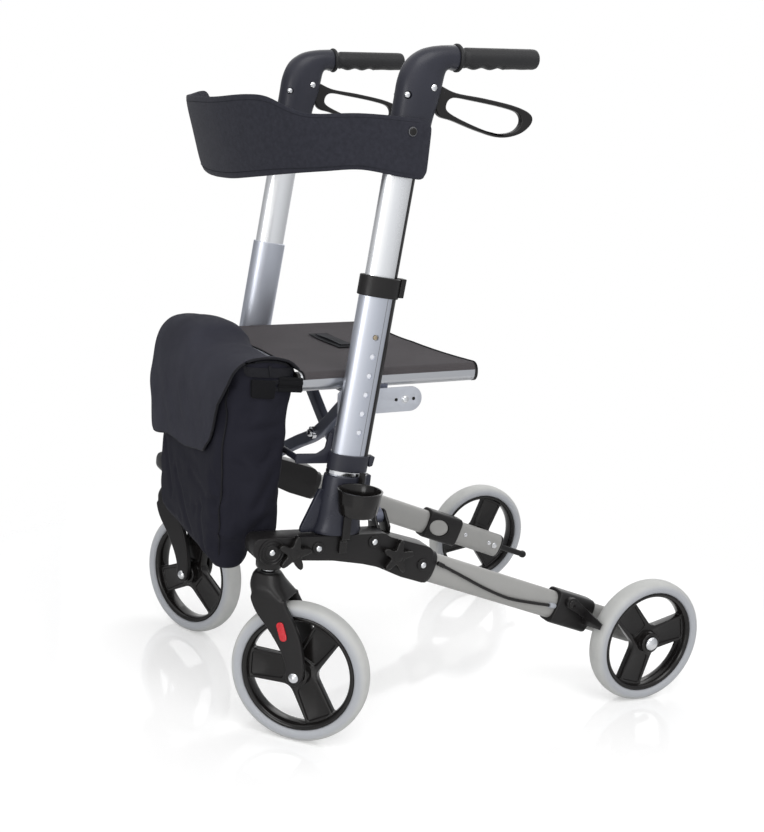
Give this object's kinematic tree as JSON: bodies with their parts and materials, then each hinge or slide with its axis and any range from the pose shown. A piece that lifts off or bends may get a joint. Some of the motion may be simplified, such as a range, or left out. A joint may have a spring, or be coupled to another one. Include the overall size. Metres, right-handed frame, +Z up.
{
  "type": "rollator",
  "caption": "Side-folding aluminium rollator with solid wheels, swivelling casters, loop brake levers, padded back strap, mesh seat, front bag and cane holder",
  "frame": {"origin": "on the floor, in the middle of the bounding box seen from above", "axes": "+Z up; the user walks towards -Y; +X is the user's left"},
  "size_m": [0.613, 0.8234, 0.9701],
  "materials": {
    "satin_aluminium": "satin anodised",
    "bright_aluminium": "bright anodised",
    "grey_paint": "warm grey powder coat on aluminium",
    "arm_paint": "dark blue-grey powder coat on aluminium",
    "black_plastic": "satin moulded black",
    "gloss_black": "gloss black",
    "grey_tyre": "light grey solid tyre",
    "chrome": "chromed steel",
    "brass": "plain brass",
    "red_reflector": "red reflector",
    "grip_rubber": "matt black",
    "strap_foam": "charcoal fabric over foam",
    "seat_mesh": "dark grey woven mesh",
    "bag_nylon": "blue-black nylon"
  },
  "bodies": {
    "left_frame": {"left_bracket": "black_plastic", "left_column_socket": "black_plastic", "left_lower_column": "satin_aluminium", "left_column_collar": "black_plastic", "left_rear_tube": "grey_paint", "left_rear_plug": "black_plastic", "left_rear_axle": "chrome", "left_brake_housing": "black_plastic", "left_brake_cable": "black_plastic", "left_seat_support": "bright_aluminium", "cane_cup": "black_plastic", "cane_clip": "black_plastic", "bag": "bag_nylon", "bag_flap": "bag_nylon"},
    "right_frame": {"right_bracket": "black_plastic", "right_column_socket": "black_plastic", "right_lower_column": "satin_aluminium", "right_column_collar": "black_plastic", "right_rear_tube": "grey_paint", "right_rear_plug": "black_plastic", "right_rear_axle": "chrome", "right_brake_housing": "black_plastic", "right_brake_cable": "black_plastic", "right_seat_support": "bright_aluminium"},
    "brace_arm_a": {"brace_arm_a": "arm_paint", "brace_pivot": "chrome", "right_seat_rail": "bright_aluminium"},
    "brace_arm_b": {"brace_arm_b": "arm_paint", "left_seat_rail": "bright_aluminium", "seat_cloth": "seat_mesh", "seat_pull_strap": "strap_foam"},
    "left_handle": {"left_upper_column": "bright_aluminium", "left_handle_housing": "black_plastic", "left_grip": "grip_rubber", "left_lever_pin": "chrome", "back_strap": "strap_foam"},
    "left_lever": {"left_brake_lever": "black_plastic"},
    "left_button": {"left_lock_button": "brass"},
    "left_brake": {"left_brake_arm": "black_plastic"},
    "left_fork": {"left_fork": "black_plastic", "left_reflector": "red_reflector", "left_front_axle": "chrome"},
    "left_front_wheel": {"left_front_tyre": "grey_tyre", "left_front_rim": "gloss_black"},
    "left_rear_wheel": {"left_rear_tyre": "grey_tyre", "left_rear_rim": "gloss_black"},
    "right_handle": {"right_upper_column": "bright_aluminium", "right_handle_housing": "black_plastic", "right_grip": "grip_rubber", "right_lever_pin": "chrome"},
    "right_lever": {"right_brake_lever": "black_plastic"},
    "right_button": {"right_lock_button": "brass"},
    "right_brake": {"right_brake_arm": "black_plastic"},
    "right_fork": {"right_fork": "black_plastic", "right_reflector": "red_reflector", "right_front_axle": "chrome"},
    "right_front_wheel": {"right_front_tyre": "grey_tyre", "right_front_rim": "gloss_black"},
    "right_rear_wheel": {"right_rear_tyre": "grey_tyre", "right_rear_rim": "gloss_black"}
  },
  "joints": [
    {"name": "fold", "type": "hinge", "parent": "left_frame", "child": "brace_arm_a", "pos_m": [0.15879, -0.15868, 0.29559], "axis": [0, 0.9973, 0.0732], "range_deg": [0, 46], "deforming": ["seat_cloth", "seat_pull_strap", "bag", "bag_flap", "back_strap"]},
    {"name": "scissor", "type": "hinge", "parent": "brace_arm_a", "child": "brace_arm_b", "pos_m": [-0.01821, -0.16469, 0.37737], "axis": [0, 0.9973, 0.0732], "range_deg": [-92, 0]},
    {"name": "right_foot_pivot", "type": "hinge", "parent": "brace_arm_b", "child": "right_frame", "pos_m": [-0.19521, -0.15868, 0.29559], "axis": [0, 0.9973, 0.0732], "range_deg": [0, 46]},
    {"name": "left_height", "type": "slide", "parent": "left_frame", "child": "left_handle", "axis": [-0.0135, 0.0813, 0.9966], "range_m": [-0.1325, 0]},
    {"name": "right_height", "type": "slide", "parent": "right_frame", "child": "right_handle", "axis": [0.0135, 0.0813, 0.9966], "range_m": [-0.1325, 0]},
    {"name": "left_lock", "type": "slide", "parent": "left_handle", "child": "left_button", "axis": [1, 0, 0], "range_m": [-0.003, 0], "stiffness_N_per_m": 600, "springref_m": 0.002},
    {"name": "left_squeeze", "type": "hinge", "parent": "left_handle", "child": "left_lever", "pos_m": [0.18113, -0.16019, 0.90087], "axis": [1, 0, 0], "range_deg": [0, 10], "stiffness_Nm_per_rad": 1.5, "springref_deg": -8.59},
    {"name": "left_brake_pivot", "type": "hinge", "parent": "left_frame", "child": "left_brake", "pos_m": [0.20929, 0.18231, 0.15737], "axis": [1, 0, 0], "range_deg": [0, 3.8]},
    {"name": "left_swivel", "type": "hinge", "parent": "left_frame", "child": "left_fork", "pos_m": [0.18979, -0.32669, 0.23487], "axis": [0, 0, 1], "continuous": true},
    {"name": "left_front_spin", "type": "hinge", "parent": "left_fork", "child": "left_front_wheel", "pos_m": [0.23139, -0.28207, 0.09937], "axis": [0.7314, -0.682, 0], "continuous": true},
    {"name": "left_rear_spin", "type": "hinge", "parent": "left_frame", "child": "left_rear_wheel", "pos_m": [0.24379, 0.31231, 0.09937], "axis": [1, 0, 0], "continuous": true},
    {"name": "right_lock", "type": "slide", "parent": "right_handle", "child": "right_button", "axis": [-1, 0, 0], "range_m": [-0.003, 0], "stiffness_N_per_m": 600, "springref_m": 0.002},
    {"name": "right_squeeze", "type": "hinge", "parent": "right_handle", "child": "right_lever", "pos_m": [-0.21754, -0.16019, 0.90087], "axis": [1, 0, 0], "range_deg": [0, 10], "stiffness_Nm_per_rad": 1.5, "springref_deg": -8.59},
    {"name": "right_brake_pivot", "type": "hinge", "parent": "right_frame", "child": "right_brake", "pos_m": [-0.24571, 0.18231, 0.15737], "axis": [1, 0, 0], "range_deg": [0, 3.8]},
    {"name": "right_swivel", "type": "hinge", "parent": "right_frame", "child": "right_fork", "pos_m": [-0.22621, -0.32669, 0.23487], "axis": [0, 0, 1], "continuous": true},
    {"name": "right_front_spin", "type": "hinge", "parent": "right_fork", "child": "right_front_wheel", "pos_m": [-0.17048, -0.30188, 0.09937], "axis": [-0.4067, 0.9135, 0], "continuous": true},
    {"name": "right_rear_spin", "type": "hinge", "parent": "right_frame", "child": "right_rear_wheel", "pos_m": [-0.28021, 0.31231, 0.09937], "axis": [1, 0, 0], "continuous": true}
  ],
  "couplings": [
    {"joint": "scissor", "follows": "fold", "ratio": -2},
    {"joint": "right_foot_pivot", "follows": "fold", "ratio": 1},
    {"joint": "right_height", "follows": "left_height", "ratio": 1},
    {"joint": "left_brake_pivot", "follows": "left_squeeze", "ratio": 0.38},
    {"joint": "right_brake_pivot", "follows": "right_squeeze", "ratio": 0.38}
  ]
}
